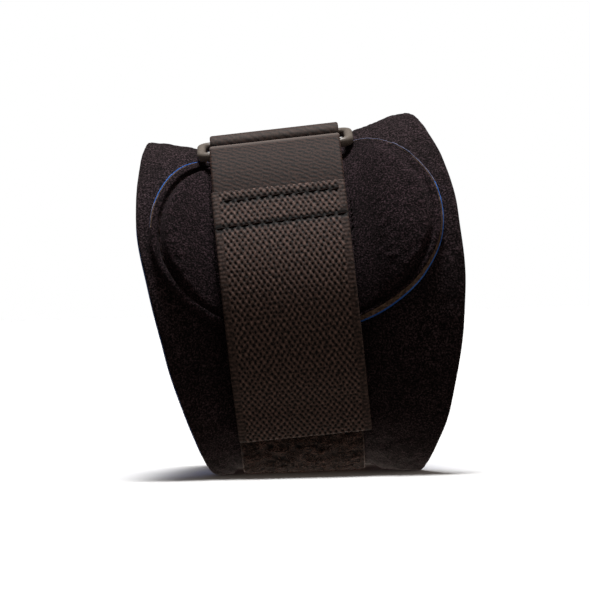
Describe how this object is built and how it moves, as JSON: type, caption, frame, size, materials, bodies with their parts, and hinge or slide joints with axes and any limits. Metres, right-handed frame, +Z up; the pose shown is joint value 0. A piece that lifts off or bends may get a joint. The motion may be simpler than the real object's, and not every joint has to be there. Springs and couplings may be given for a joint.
{
  "type": "tennis elbow sleeve",
  "caption": "Neoprene forearm sleeve with an oval pad on its front, drawn in by a pile strap that turns through a moulded loop and is held by a woven hook tab.",
  "frame": {"origin": "on the surface that the sleeve lies on, under the middle of its box", "axes": "X along the forearm's hollow, towards the wide end; -Y is the front with the pad and the tab; +Z up"},
  "size_m": [0.0928, 0.1014, 0.104],
  "materials": {
    "neoprene": "matte black brushed knit over neoprene foam, dark blue lining",
    "pad_neoprene": "matte black brushed knit, cut foam edge, blue backing",
    "pile_tape": "matte black loop pile, smooth twill back",
    "hook_tape": "coarse black nylon weave",
    "moulded_loop": "satin grey-brown moulding"
  },
  "bodies": {
    "root": {"sleeve": "neoprene", "pad": "pad_neoprene", "pile_strap": "pile_tape", "hook_tab": "hook_tape", "loop": "moulded_loop"}
  },
  "joints": []
}
